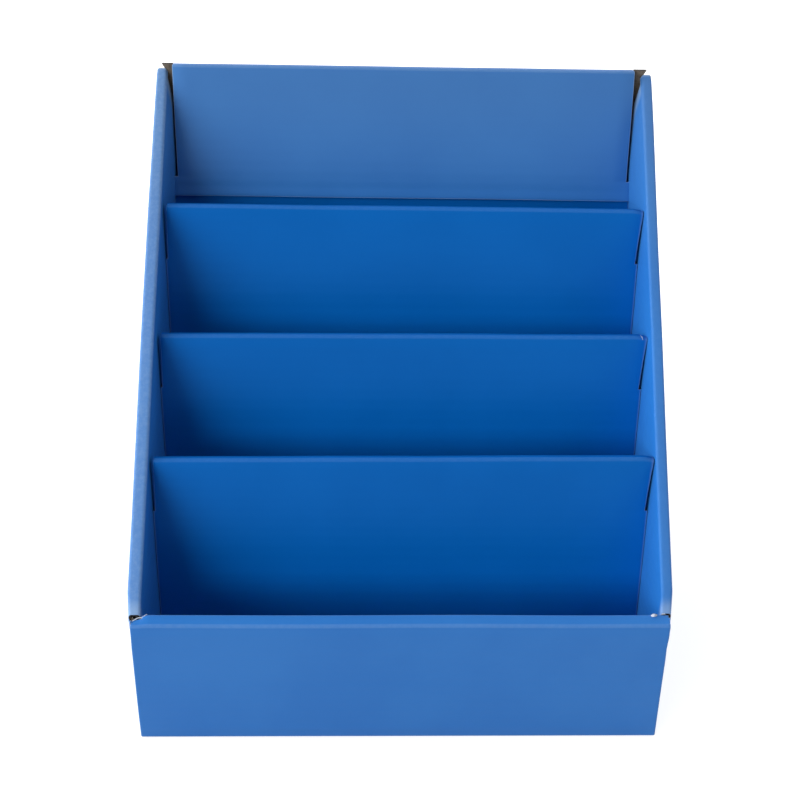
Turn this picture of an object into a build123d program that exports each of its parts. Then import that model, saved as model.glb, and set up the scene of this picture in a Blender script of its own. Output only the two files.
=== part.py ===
"""Four tier cardboard counter display: a folded tray and a stepped insert.

Millimetres, Z up, the front faces -Y, the origin is the centre of the
underside. Both pieces are one die cut sheet each, bent into shape, so each
one is a single solid.
"""
import math
import os

from build123d import *

# Board and how tightly folded layers lie on each other.
board = 2.5
ply_gap = 0.2
fold_radius = 1.5

# Overall tray. The width is at the widest place, because the side walls
# bow out a little between the front and the back.
width = 303.0
depth = 228.0
front_height = 86.0
side_top = 328.0

# Rolled side walls: two layers with a little air between them.
spine_width = 6.3
# Rolled front: panel, corner flap and inner panel.
lip_depth = 3 * board + 2 * ply_gap
corner_flap = 60.0
rear_flap_below = 16.0
rear_flap_drop = 22.0

# Flap folded forward from the top of the back wall. The wall's two ears
# stand a little above the side walls and spread outwards.
crown_rise = 3.5
ear_spread = 3.5
flap_lean = 9.36
flap_gap = 3.5
flap_length = 79.4
flap_skirt = 12.0
flap_fold_depth = 6.0

# Stepped insert. Each riser's front top edge is a share of the depth back
# from the front and a share of the side height up.
side_play = 0.3
riser_lean = 7.5
riser_depth = 6.0
riser_fold_radius = 2.2
riser_shares = [(0.2965, 0.4558), (0.532, 0.6128), (0.75, 0.7982)]
riser_gap_top = 2.4
riser_gap_low = 1.3
notch_depth = 33.0
rear_panel_below = 33.0
leg_play = 3.0

half = width / 2
inner_half = half - spine_width
insert_half = inner_half - side_play
flap_half = inner_half - flap_gap
wall_front = lip_depth + ply_gap
wall_back = depth - board - ply_gap
slope = (side_top - front_height) / (wall_back - wall_front)
back_top = side_top + crown_rise
flap_bottom = back_top - flap_length
flap_notch = flap_bottom + flap_skirt
pocket_depth = front_height - 2 * board
riser_tops = [(depth * y, side_top * z) for y, z in riser_shares]
y_shift = -depth / 2


def mitred(path, thick):
    """Both sides of a bent strip: the left points, then the right ones."""
    left = []
    right = []
    last = len(path) - 1
    for i, (px, py) in enumerate(path):
        normals = []
        if i > 0:
            qx, qy = path[i - 1]
            run = math.hypot(px - qx, py - qy)
            normals.append((-(py - qy) / run, (px - qx) / run))
        if i < last:
            qx, qy = path[i + 1]
            run = math.hypot(qx - px, qy - py)
            normals.append((-(qy - py) / run, (qx - px) / run))
        nx = sum(n[0] for n in normals)
        ny = sum(n[1] for n in normals)
        size = math.hypot(nx, ny)
        nx, ny = nx / size, ny / size
        reach = thick / 2 / (nx * normals[0][0] + ny * normals[0][1])
        left.append((px + nx * reach, py + ny * reach))
        right.append((px - nx * reach, py - ny * reach))
    return left, right


def bent_sheet(path, radii, half_width):
    """A strip of board bent along the path, extruded across the width."""
    left, right = mitred(path, board)
    outline = left + right[::-1]
    face = make_face(Polyline(*outline, close=True)).faces()[0]
    for i, radius in radii.items():
        (ax, ay), (bx, by), (cx, cy) = path[i - 1], path[i], path[i + 1]
        turn = (bx - ax) * (cy - by) - (by - ay) * (cx - bx)
        ox, oy = right[i] if turn > 0 else left[i]
        corner = face.vertices().sort_by_distance((ox, oy, 0))[0]
        face = face.fillet_2d(radius, [corner])
    sketch = Plane.YZ * Pos(y_shift, 0, 0) * face
    return extrude(sketch, half_width, both=True)


def box(x0, x1, y0, y1, z0, z1):
    """A block from its corners, with y counted from the front face."""
    centre = Pos((x0 + x1) / 2, (y0 + y1) / 2 + y_shift, (z0 + z1) / 2)
    return centre * Box(x1 - x0, y1 - y0, z1 - z0)


def side_plate(points, x0, x1):
    """A plate standing along the side, drawn in depth and height."""
    shifted = [(y + y_shift, z) for y, z in points]
    face = make_face(Plane.YZ * Polyline(*shifted, close=True))
    return Pos(x0, 0, 0) * extrude(face, x1 - x0, dir=(1, 0, 0))


def front_plate(points, y0, y1):
    """A plate facing the front, drawn in width and height."""
    face = make_face(Plane.XZ * Polyline(*points, close=True))
    return Pos(0, y0 + y_shift, 0) * extrude(face, y1 - y0, dir=(0, 1, 0))


def both_sides(shape):
    """The shape and its mirror image on the other side."""
    return [shape, mirror(shape, Plane.YZ)]


def slope_height(y):
    """Height of the sloping side edge at a depth."""
    return front_height + (y - wall_front) * slope


def flap_face(z):
    """Depth of the front face of the back flap at a height."""
    run = (flap_fold_depth - board / 2) / math.cos(math.radians(flap_lean))
    top_y = depth - run - board / 2 / math.cos(math.radians(flap_lean))
    return top_y - (back_top - z) * math.tan(math.radians(flap_lean))


def make_tray():
    lean = math.radians(flap_lean)
    mid = board / 2
    flap_mid = mid / math.cos(lean)
    hinge_z = back_top - mid
    path = [
        (lip_depth - mid, board + ply_gap),
        (lip_depth - mid, front_height - mid),
        (mid, front_height - mid),
        (mid, mid),
        (depth - mid, mid),
        (depth - mid, hinge_z),
        (flap_face(hinge_z) + flap_mid, hinge_z),
        (flap_face(flap_bottom) + flap_mid, flap_bottom),
    ]
    radii = {i: fold_radius for i in range(1, 7)}
    tray = bent_sheet(path, radii, half)

    # The rolled inner front panel stands between the side walls.
    gap_y = board + ply_gap / 2
    for trim in both_sides(
        box(insert_half, half + 1, gap_y, wall_front, board, front_height - board)
    ):
        tray = tray - trim

    # The back flap is narrower at its notches, and fills the width below them.
    behind = depth - board
    for trim in both_sides(
        box(flap_half, half + 1, flap_face(flap_bottom) - 5, behind, flap_notch, back_top + 1)
    ):
        tray = tray - trim
    for trim in both_sides(
        box(insert_half, half + 1, flap_face(flap_bottom) - 5, behind, flap_bottom - 5, flap_notch)
    ):
        tray = tray - trim
    crown = front_plate(
        [
            (insert_half, side_top),
            (insert_half + ear_spread, back_top),
            (insert_half + ear_spread, back_top + 1),
            (half + 1, back_top + 1),
            (half + 1, side_top),
        ],
        behind - 1,
        depth + 1,
    )
    for trim in both_sides(crown):
        tray = tray - trim

    # A rolled side wall: outer panel, narrow top strip, inner panel.
    outer = side_plate(
        [
            (board + ply_gap, 0),
            (wall_back, 0),
            (wall_back, side_top),
            (wall_front, front_height),
            (wall_front, front_height - board - ply_gap),
            (board + ply_gap, front_height - board - ply_gap),
        ],
        half - board,
        half,
    )
    strip_drop = board * math.hypot(1, slope)
    strip = side_plate(
        [
            (wall_front, front_height),
            (wall_back, side_top),
            (wall_back, side_top - strip_drop),
            (wall_front, front_height - strip_drop),
        ],
        inner_half,
        half,
    )
    inner_end = wall_back - board - ply_gap
    inner = side_plate(
        [
            (wall_front, board + ply_gap),
            (inner_end, board + ply_gap),
            (inner_end, slope_height(inner_end)),
            (wall_front, front_height),
        ],
        inner_half,
        inner_half + board,
    )
    wall = outer + strip + inner
    ridge = []
    for edge in wall.edges():
        start = edge @ 0
        end = edge @ 1
        on_slope = all(
            abs(p.Z - slope_height(p.Y - y_shift)) < 0.01 for p in (start, end)
        )
        if on_slope and abs(start.X - end.X) < 0.01:
            ridge.append(edge)
    wall = fillet(ridge, fold_radius)

    # Corner flaps bent in from the outer side panels.
    front_flap = box(
        half - board - corner_flap,
        half,
        board + ply_gap,
        2 * board + ply_gap,
        board + ply_gap,
        front_height - board - ply_gap,
    )
    rear_flap = front_plate(
        [
            (half, board + ply_gap),
            (half, side_top - rear_flap_below),
            (half - board - corner_flap, side_top - rear_flap_below - rear_flap_drop),
            (half - board - corner_flap, board + ply_gap),
        ],
        wall_back - board,
        wall_back,
    )
    side = wall + front_flap + rear_flap
    for piece in both_sides(side):
        tray = tray + piece

    # The long bottom folds are rounded like the others.
    jacket = Rectangle(width, 2 * back_top)
    jacket = Pos(0, back_top, 0) * jacket
    low = jacket.vertices().sort_by(Axis.Y)[:2]
    jacket = fillet(low, fold_radius)
    jacket = extrude(Plane.XZ * jacket, depth, both=True)
    return tray & jacket


def make_insert():
    lean = math.radians(riser_lean)
    up = (math.sin(lean), math.cos(lean))
    back = (math.cos(lean), -math.sin(lean))
    mid = board / 2
    floors = [board] + [top_z - pocket_depth - board for _, top_z in riser_tops]

    def on_line(point, z):
        return (point[0] + (z - point[1]) * math.tan(lean), z)

    path = [(wall_front, floors[0] + mid)]
    radii = {}
    legs = []
    for k, (fy, fz) in enumerate(riser_tops):
        front = (fy + back[0] * mid - up[0] * mid, fz + back[1] * mid - up[1] * mid)
        reach = riser_depth - mid
        rear = (fy + back[0] * reach - up[0] * mid, fz + back[1] * reach - up[1] * mid)
        foot = on_line(front, floors[k] + mid)
        heel = on_line(rear, floors[k + 1] + mid)
        radii[len(path)] = fold_radius
        path.append(foot)
        radii[len(path)] = riser_fold_radius
        path.append(front)
        radii[len(path)] = riser_fold_radius
        path.append(rear)
        radii[len(path)] = fold_radius
        path.append(heel)
        legs.append([heel[0] + leg_play, 0.0, floors[k + 1]])
        if k > 0:
            legs[k - 1][1] = foot[0] - leg_play

    # Rear panel, lying behind the flap of the tray.
    tilt = math.radians(flap_lean)
    face_run = (board + ply_gap + mid) / math.cos(tilt)
    foot_z = floors[-1] + mid
    foot = (flap_face(foot_z) + face_run, foot_z)
    radii[len(path)] = fold_radius
    path.append(foot)
    rear_top = side_top - rear_panel_below
    path.append((flap_face(rear_top) + face_run, rear_top))
    legs[-1][1] = foot[0] - leg_play
    insert = bent_sheet(path, radii, insert_half)

    # Narrow gaps between each doubled riser top and the side walls.
    for fy, fz in riser_tops:
        low = fz - notch_depth
        gap = front_plate(
            [
                (inner_half - riser_gap_low, low),
                (inner_half - riser_gap_top, fz + 1),
                (half, fz + 1),
                (half, low),
            ],
            fy - 8,
            fy + 8,
        )
        for trim in both_sides(gap):
            insert = insert - trim

    # Legs folded down from the ends of each raised floor.
    for y0, y1, floor in legs:
        leg = box(insert_half - board, insert_half, y0, y1, board, floor + board)
        for piece in both_sides(leg):
            insert = insert + piece
    return insert


def single(shape):
    """The one solid that a folded sheet makes."""
    solids = shape.solids()
    if len(solids) != 1:
        raise ValueError("expected one solid, got %d" % len(solids))
    return solids[0]


os.makedirs("parts", exist_ok=True)
export_step(single(make_tray()), "parts/tray.step")
export_step(single(make_insert()), "parts/step_insert.step")
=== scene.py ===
"""Four tier counter display, folded from two sheets of printed corrugated board.

Sizes are in millimetres and the meshes in metres. Depths are counted from the front
face of the tray, as the die cutter's drawing would give them.
"""
import math
from collections import namedtuple

import bmesh
import bpy
from mathutils import Matrix, Vector, noise


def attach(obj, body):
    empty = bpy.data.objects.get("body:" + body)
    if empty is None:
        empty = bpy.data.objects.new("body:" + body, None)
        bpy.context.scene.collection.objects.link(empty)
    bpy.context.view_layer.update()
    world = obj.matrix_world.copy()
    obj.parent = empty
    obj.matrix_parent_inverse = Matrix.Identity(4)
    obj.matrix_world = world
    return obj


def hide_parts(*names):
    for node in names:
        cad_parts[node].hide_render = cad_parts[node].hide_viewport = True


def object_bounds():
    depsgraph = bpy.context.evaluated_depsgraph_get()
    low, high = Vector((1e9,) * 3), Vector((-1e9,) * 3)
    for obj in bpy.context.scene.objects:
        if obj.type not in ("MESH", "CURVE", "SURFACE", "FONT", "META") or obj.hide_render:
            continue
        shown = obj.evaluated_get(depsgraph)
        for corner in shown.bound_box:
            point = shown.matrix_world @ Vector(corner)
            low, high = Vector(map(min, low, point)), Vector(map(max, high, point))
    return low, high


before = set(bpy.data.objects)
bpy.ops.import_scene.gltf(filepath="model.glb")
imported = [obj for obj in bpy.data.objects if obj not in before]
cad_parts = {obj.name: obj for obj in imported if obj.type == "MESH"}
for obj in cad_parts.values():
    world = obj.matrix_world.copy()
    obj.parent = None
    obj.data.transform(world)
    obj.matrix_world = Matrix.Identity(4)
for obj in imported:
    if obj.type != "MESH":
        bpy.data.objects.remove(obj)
cad_low, cad_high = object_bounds()

MM = 0.001

# Board: two liners with a wavy layer of fluting between them.
board = 2.5
ply_gap = 0.2
liner = 0.3
flute_pitch = 6.4
flute_step = 0.64
flute_paper = 0.22
channel_depth = 2.0
fold_radius = 1.6
tight_radius = 0.35
crushed_edge = 0.25

# Tray, as its blank is creased.
depth = 228.0
half = 150.0
front_height = 86.0
side_top = 328.0
spine_width = 6.3
lip_depth = 3 * board + 2 * ply_gap
lip_notch = 5.3
corner_flap = 60.0
rear_flap_below = 16.0
rear_flap_drop = 22.0

# Flap folded forward from the top of the back wall, between the wall's two ears.
crown_rise = 3.5
ear_spread = 3.5
flap_lean = 9.36
flap_gap = 3.6
flap_length = 78.0
flap_skirt = 12.0
flap_fold_depth = 6.0

# Stepped insert: front top edges of the risers, as depth and height.
side_play = 0.3
riser_lean = 7.5
riser_depth = 6.0
riser_radius = 2.2
riser_tops = [(67.6, 149.5), (121.3, 201.0), (171.0, 261.8)]
riser_gaps = {-1: (1.3, 2.4), 1: (1.9, 0.6)}
notch_depth = 33.0
rear_panel_below = 33.0
leg_play = 3.0
rear_panel_taper = 0.028

# How the folded tray has given. Each wall's outer panel bows out along its top: the
# half width that it tends to, the depth of that place, and how fast it falls off.
bows = {-1: (152.5, 80.0, 0.00012), 1: (152.3, 95.0, 0.00006)}
widest = 151.5
bow_growth = 1.5
inner_follow = {-1: 0.0, 1: 0.85}
rear_pinch = 2.6
pinch_growth = 1.5
front_taper = 1.3
front_narrowing = 0.5
front_turn = 1.45
spine_creep = 1.3
spine_rise = 1.1
top_tilt = 0.4
lip_crush = 2.3
lip_crush_share = 0.25
lip_droop = 2.2
lip_overhang = 148.9
corner_push = 0.4
ridge_wear = {-1: 2.4, 1: 0.5}

# How the insert has given: its risers from the front one, and the back flap's edge.
riser_tips = [1.3, 0.6, 0.0]
riser_slump = 0.9
riser_reach = 1.3
slump_start = 138.6
flap_curl = 0.5
curl_height = 2.2

# Dents in the knocked corners and the slow wave of all the board: their size and depth,
# and the seed that makes them the same each time.
dents = (5.0, 0.5)
waves = (75.0, 0.3)
give_seed = 1

# Where each way of giving sets in and where it is full: places across in x, depths in y,
# heights in z, heights over a riser's or a wall's top in from_top, and pinch_share as a
# share of the way out through the wall. With near in its name it is where that applies.
front_y = (12.0, 2.0)
lip_z = (60.0, 84.0)
crush_z = (72.0, 84.0)
left_knock_x = (-139.5, -148.0)
right_knock_x = (143.5, 149.0)
creep_y = (14.0, 8.0)
creep_z = (60.0, 86.0)
turn_y = (170.0, 0.0)
rise_y = (180.0, 222.0)
rise_z = (200.0, 300.0)
tilt_z = (205.0, 245.0)
pinch_y = (178.0, 218.0)
pinch_z = (240.0, 264.0)
pinch_from_top = (-1.0, -8.0)
pinch_share = (0.8, 0.3)
follow_from_top = (-36.0, -2.0)
wave_z = (0.0, 20.0)
riser_near_y = (-16.0, 9.0)
riser_near_from_top = (-70.0, 2.0)
tip_from_top = (-70.0, -10.0)
slump_from_top = (-12.0, -3.0)
flap_near_y = 200.0

# Torn liner: its thickness, its share of width at the ends, and how ragged its edge is.
scrap_paper = 0.16
scrap_ends = 0.35
scrap_ragged = 0.5
scrap_scale = 1.7

# Fluted edges get a channel in runs of at least so many corners, where two edges that
# meet don't turn back on each other. The paper starts a share of the way down in it.
shortest_run = 3
least_agreement = 0.8
paper_inset = 0.1

# How finely the sheets are divided.
cell = 9.0
panel_cell = 1.3 * cell
fold_steps = 5
edge_cell = 0.7
sharp_angle = 32.0

# How near two places or shares are when they count as one.
snug = 0.1
slack = 0.01
weld = 0.001
tiny = 0.0001

# What follows from the sizes above. A ply is one layer of board and the air beside it.
ply = board + ply_gap
inner_half = half - spine_width
insert_half = inner_half - side_play
flap_half = inner_half - flap_gap
wall_front = lip_depth + ply_gap
wall_back = depth - ply
wall_base_front = ply + fold_radius
wall_base_back = wall_back - fold_radius
inner_end = wall_back - ply
slope = (side_top - front_height) / (wall_back - wall_front)
stretch = math.hypot(1, slope)
back_top = side_top + crown_rise
flap_bottom = back_top - flap_length
flap_notch = flap_bottom + flap_skirt
rear_flap_top = side_top - rear_flap_below
pocket_depth = front_height - 2 * board

Spot = namedtuple("Spot", "face back flat crease")
Station = namedtuple("Station", "face back run crease")


# Folding


def slope_height(y):
    """Height of the sloping side edge at a depth."""
    return front_height + (y - wall_front) * slope


def flap_face(z):
    """Depth of the front face of the back flap at a height."""
    run = (flap_fold_depth - board / 2) / math.cos(math.radians(flap_lean))
    top_y = depth - run - board / 2 / math.cos(math.radians(flap_lean))
    return top_y - (back_top - z) * math.tan(math.radians(flap_lean))


def clamp(value):
    """The value, kept from 0 to 1."""
    return max(0.0, min(1.0, value))


def fade(value, span):
    """How far the value has come from the span's start to its end, from 0 to 1."""
    return clamp((value - span[0]) / (span[1] - span[0]))


def within(value, span, margin=0.0):
    """Whether the value lies between the span's ends, give or take the margin."""
    return span[0] - margin < value < span[1] + margin


def alike(a, b):
    return abs(a - b) < slack


def between(a, b, t):
    """The point a share t of the way from a to b."""
    return tuple(p + (q - p) * t for p, q in zip(a, b))


def heading(a, b):
    """Unit direction from a to b."""
    run = math.dist(a, b)
    return ((b[0] - a[0]) / run, (b[1] - a[1]) / run)


def turn_of(into, out):
    """Signed angle of a fold, positive to the left."""
    across = into[0] * out[1] - into[1] * out[0]
    return math.atan2(across, into[0] * out[0] + into[1] * out[1])


def fold_arc(corner, into, out, radius):
    """Points round a folded corner, from the run into it to the run out of it."""
    turn = turn_of(into, out)
    reach = radius * math.tan(abs(turn) / 2)
    side = math.copysign(radius, turn)
    start = (corner[0] - into[0] * reach, corner[1] - into[1] * reach)
    centre = (start[0] - into[1] * side, start[1] + into[0] * side)
    arm = (start[0] - centre[0], start[1] - centre[1])
    points = []
    for k in range(fold_steps + 1):
        c = math.cos(turn * k / fold_steps)
        s = math.sin(turn * k / fold_steps)
        points.append((centre[0] + arm[0] * c - arm[1] * s, centre[1] + arm[0] * s + arm[1] * c))
    return points


def mitred(path, offset):
    """The path moved sideways to its left, with mitred corners."""
    moved = []
    for i, point in enumerate(path):
        runs = []
        if i > 0:
            runs.append(heading(path[i - 1], point))
        if i < len(path) - 1:
            runs.append(heading(point, path[i + 1]))
        nx = sum(-r[1] for r in runs)
        ny = sum(r[0] for r in runs)
        size = math.hypot(nx, ny)
        nx, ny = nx / size, ny / size
        reach = offset / (-nx * runs[0][1] + ny * runs[0][0])
        moved.append((point[0] + nx * reach, point[1] + ny * reach))
    return moved


def shares(first, last, marks, spacing):
    """Shares along a flat from first to last that hit the marks, none too far apart."""
    axis = 0 if abs(last[0] - first[0]) > abs(last[1] - first[1]) else 1
    run = math.dist(first, last)
    stops = [(m - first[axis]) / (last[axis] - first[axis]) for m in marks]
    stops = [0.0] + sorted(t for t in stops if tiny < t < 1 - tiny) + [1.0]
    found = []
    for a, b in zip(stops, stops[1:]):
        parts = max(1, math.ceil((b - a) * run / spacing - slack))
        found += [a + (b - a) * (k + 1) / parts for k in range(parts)]
    return found


def bent_strip(path, flats, print_side, radii, marks):
    """Stations along a folded strip, and the name of what lies after each of them."""
    faces = mitred(path, print_side * board / 2)
    backs = mitred(path, -print_side * board / 2)
    pairs = [(faces[0], backs[0], 0.0)]
    spans = []
    for k, flat in enumerate(flats):
        folds = None
        last = (faces[k + 1], backs[k + 1])
        if k + 1 < len(flats):
            into = heading(path[k], path[k + 1])
            out = heading(path[k + 1], path[k + 2])
            outside = turn_of(into, out) * print_side < 0
            wide = radii.get(flats[k + 1], fold_radius)
            face_arc = fold_arc(faces[k + 1], into, out, wide if outside else tight_radius)
            back_arc = fold_arc(backs[k + 1], into, out, tight_radius if outside else wide)
            folds = list(zip(face_arc, back_arc))
            last = folds[0]
        first = pairs[-1]
        for t in shares(first[0], last[0], marks.get(flat, []), cell):
            pairs.append((between(first[0], last[0], t), between(first[1], last[1], t), 0.0))
            spans.append(flat)
        if folds:
            for step, (face, back) in enumerate(folds[1:], 1):
                pairs.append((face, back, 1.0 if step < fold_steps else 0.0))
                spans.append("to_" + flats[k + 1])
    stations = []
    run = 0.0
    for i, (face, back, crease) in enumerate(pairs):
        if i:
            run += math.dist(face, pairs[i - 1][0])
        stations.append(Station(face, back, run, crease))
    return stations, spans


# Sheets

PRINT, KRAFT, FLUTED, PLAIN, TORN = range(5)


def strip_spot(station, x, face_x, back_x):
    """A strip's spot at a station: where it lies across the blank, and on each side."""
    face = (face_x, *station.face)
    return Spot(face, (back_x, *station.back), (x, station.run), station.crease)


def mirrored(spot, side):
    """The spot on its own side of the sheet, -1 for left and 1 for right."""
    return Spot(
        (side * spot.face[0], *spot.face[1:]),
        (side * spot.back[0], *spot.back[1:]),
        (side * spot.flat[0], spot.flat[1]),
        spot.crease,
    )


def everywhere(i, j):
    return True


class Sheet:
    """A folded sheet of board: its print side, its kraft side and its cut edges."""

    def __init__(self):
        self.numbers = {}
        self.points = []
        self.creases = []
        self.faces = []
        self.rims = {}
        self.behind = {}

    def corner(self, point, crease):
        key = tuple(round(c, 4) for c in point)
        if key not in self.numbers:
            self.numbers[key] = len(self.points)
            self.points.append(Vector(point))
            self.creases.append(crease)
        return self.numbers[key]

    def lay(self, spots, there, row_edge, column_edge):
        """Adds a grid of board. Where two of its edges meet, they become one sheet."""
        rows, columns = len(spots) - 1, len(spots[0]) - 1
        face = [[self.corner(s.face, s.crease) for s in row] for row in spots]
        back = [[self.corner(s.back, s.crease) for s in row] for row in spots]
        solid = [[bool(there(i, j)) for j in range(columns)] for i in range(rows)]
        for i in range(rows):
            for j in range(columns):
                if not solid[i][j]:
                    continue
                ring = [(i, j), (i, j + 1), (i + 1, j + 1), (i + 1, j)]
                flat = [spots[a][b].flat for a, b in ring]
                self.faces.append(([face[a][b] for a, b in ring], flat, PRINT))
                self.faces.append(([back[a][b] for a, b in ring], flat, KRAFT))
                for k, (p, q) in enumerate(zip(ring, ring[1:] + ring[:1])):
                    ni, nj = [(i - 1, j), (i, j + 1), (i + 1, j), (i, j - 1)][k]
                    if 0 <= ni < rows and 0 <= nj < columns and solid[ni][nj]:
                        continue
                    along = 1 if k in (1, 3) else 0
                    start = spots[p[0]][p[1]].flat[along]
                    stop = spots[q[0]][q[1]].flat[along]
                    corners = (face[p[0]][p[1]], face[q[0]][q[1]], back[q[0]][q[1]], back[p[0]][p[1]])
                    edge = column_edge if along else row_edge
                    flat = [(start, 0), (stop, 0), (stop, board), (start, board)]
                    key = frozenset(corners)
                    if key in self.rims:
                        del self.rims[key]
                    else:
                        self.rims[key] = (corners, flat, edge)
                        (a, b), (c, d) = ring[k - 1], ring[k - 2]
                        self.behind[key] = (face[a][b], face[c][d])

    def scrap(self, spine, lean, width):
        """A torn strip of liner along a line, its edge ragged and its ends drawn thin."""
        rings = []
        last = len(spine) - 1
        for k, point in enumerate(spine):
            point = Vector(point)
            ahead = Vector(spine[min(k + 1, last)]) - Vector(spine[max(k - 1, 0)])
            side = Vector(lean).cross(ahead).normalized()
            up = ahead.cross(side).normalized() * scrap_paper
            share = scrap_ends + math.sin(math.pi * (k + 0.5) / (last + 1))
            ragged = 1 + scrap_ragged * (noise.noise(point * scrap_scale) - 0.5)
            reach = side * width * share * ragged
            corners = (point, point + reach, point + reach + up, point + up)
            rings.append([self.corner(c, 0.0) for c in corners])
        flat = [(0, 0), (0.5, 0), (0.5, 0.5), (0, 0.5)]
        for a, b in zip(rings, rings[1:]):
            for k in range(4):
                n = (k + 1) % 4
                self.faces.append(([a[k], a[n], b[n], b[k]], flat, TORN))
        self.faces.append((rings[0], flat, TORN))
        self.faces.append((rings[-1][::-1], flat, TORN))

    def crush_edges(self):
        """Presses both liners in a little along every cut edge, as the die does."""
        pairs = {}
        for corners, _, _ in self.rims.values():
            pairs[corners[0]] = corners[3]
            pairs[corners[1]] = corners[2]
        for a, b in pairs.items():
            inward = (self.points[b] - self.points[a]).normalized() * crushed_edge
            self.points[a] = self.points[a] + inward
            self.points[b] = self.points[b] - inward
        return set(pairs) | set(pairs.values())

    def fluted_ends(self, keys):
        """The ends of the fluted edges: for each, what lies behind and further along."""
        ends = {}
        for key in keys:
            p, q, q_back, p_back = self.rims[key][0]
            behind = self.behind[key]
            ends.setdefault((p, p_back), []).append((behind[0], (q, q_back)))
            ends.setdefault((q, q_back), []).append((behind[1], (p, p_back)))
        return ends

    def hollow_rims(self):
        """The fluted edges that get a channel between their liners: none where three of
        them meet, where two stand back to back, or in a run that is too short."""
        pairs = {
            key: ((corners[0], corners[3]), (corners[1], corners[2]))
            for key, (corners, _, edge) in self.rims.items()
            if edge == FLUTED
        }
        ends = self.fluted_ends(pairs)

        def passable(pair):
            here = self.points[pair[0]]
            behind = [(self.points[k] - here).normalized() for k, _ in ends[pair]]
            return len(behind) < 3 and sum(behind, Vector()).length > least_agreement

        hollow = {key for key in pairs if all(passable(pair) for pair in pairs[key])}
        runs = chains(self.fluted_ends(hollow))
        reached = {pair for run in runs if len(run) >= shortest_run for pair in run}
        return {key for key in hollow if reached.issuperset(pairs[key])}

    def dig_channels(self, ends):
        """The four points across the channel at each pair of corners: the liners' inner
        edges, and the channel's floor below each of them."""
        channel = {}
        for (here, back), uses in ends.items():
            a, b = self.points[here], self.points[back]
            into = sum(((self.points[k] - a).normalized() for k, _ in uses), Vector())
            into = (into - into.project(b - a)).normalized() * channel_depth
            if len(uses) == 1:
                into += (self.points[uses[0][1][0]] - a).normalized() * crushed_edge
            rim = (a.lerp(b, liner / board), b.lerp(a, liner / board))
            channel[here, back] = range(len(self.points), len(self.points) + 4)
            self.points += [*rim, rim[0] + into, rim[1] + into]
            self.creases += [0.0] * 4
        return channel

    def edge_faces(self):
        """Faces of the cut edges, with a channel between the liners along the fluted
        ones. Gives the channels too, as runs of the four points across each."""
        hollow = self.hollow_rims()
        ends = self.fluted_ends(hollow)
        channel = self.dig_channels(ends)
        faces = []
        for key, (corners, flat, edge) in self.rims.items():
            p, q, q_back, p_back = corners
            at_p, at_q = channel.get((p, p_back), ()), channel.get((q, q_back), ())
            (u, _), (w, _) = flat[:2]
            if key in hollow:
                sides = [p, *at_p[:1], *at_p[2:], at_p[1], p_back]
                others = [q, *at_q[:1], *at_q[2:], at_q[1], q_back]
                for k, finish in enumerate((FLUTED, KRAFT, KRAFT, KRAFT, FLUTED)):
                    v = 0 if k < 2 else board - liner
                    spot = [(u, v), (w, v), (w, v + liner), (u, v + liner)]
                    faces.append(([sides[k], others[k], others[k + 1], sides[k + 1]], spot, finish))
                continue
            inner = (liner, board - liner)
            ring = [p, q, *at_q[:2], q_back, p_back, *list(at_p[:2])[::-1]]
            spot = flat[:2] + [(w, v) for v in inner if at_q] + flat[2:]
            spot += [(u, v) for v in inner[::-1] if at_p]
            faces.append((ring, spot, edge))
        for pair, uses in ends.items():
            if len(uses) == 1:
                a, b, c, d = channel[pair]
                faces.append(([a, b, d, c], [(0, 0), (liner, 0), (liner, liner), (0, liner)], KRAFT))
        return faces, [[channel[pair] for pair in run] for run in chains(ends)]

    def make(self, name, warp, finishes):
        """The mesh object, with the flat blank as its UV map."""
        cut = self.crush_edges()
        mesh = bpy.data.meshes.new(name)
        edges, runs = self.edge_faces()
        faces = self.faces + edges
        spots = [tuple(c * MM for c in warp(p)) for p in self.points]
        mesh.from_pydata(spots, [], [f[0] for f in faces])
        blank = mesh.uv_layers.new(name="blank")
        k = 0
        for polygon, (_, flat, finish) in zip(mesh.polygons, faces):
            polygon.material_index = finish
            for u, v in flat:
                blank.data[k].uv = (u * MM, v * MM)
                k += 1
        for title, values in (
            ("crease", self.creases),
            ("cut", [1.0 if i in cut else 0.0 for i in range(len(self.points))]),
        ):
            layer = mesh.attributes.new(title, "FLOAT", "POINT")
            layer.data.foreach_set("value", values)
        for finish in finishes:
            mesh.materials.append(finish)
        clean_up(mesh)
        piece = bpy.data.objects.new(name, mesh)
        bpy.context.scene.collection.objects.link(piece)
        return piece, [[[Vector(spots[k]) for k in spot] for spot in run] for run in runs]


def chains(ends):
    """The runs of pairs that follow on from each other."""
    found = []
    done = set()
    for start, uses in ends.items():
        if len(uses) != 1 or start in done:
            continue
        run = [start]
        while True:
            done.add(run[-1])
            ahead = [pair for _, pair in ends[run[-1]] if pair not in done]
            if not ahead:
                break
            run.append(ahead[0])
        found.append(run)
    return found


def clean_up(mesh):
    """Drops unused points, turns the faces outwards and keeps only real edges sharp."""
    shell = bmesh.new()
    shell.from_mesh(mesh)
    bmesh.ops.delete(shell, geom=[v for v in shell.verts if not v.link_faces], context="VERTS")
    bmesh.ops.recalc_face_normals(shell, faces=shell.faces)
    shell.to_mesh(mesh)
    shell.free()
    for polygon in mesh.polygons:
        polygon.use_smooth = True
    mesh.set_sharp_from_angle(angle=math.radians(sharp_angle))


def even_columns(limit, inside_marks):
    """Columns from one side to the other: even cells, with narrow ones at the marks."""
    marks = sorted(set(inside_marks))
    first = marks[0] - edge_cell
    parts = math.ceil(first / cell)
    right = [first * k / parts for k in range(parts + 1)] + marks + [limit]
    right = sorted(set(round(x, 4) for x in right))
    return [-x for x in right[:0:-1]] + right


# Tray

tray_flats = ["inner_front", "lip", "front", "base", "back", "crown", "flap"]


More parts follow.
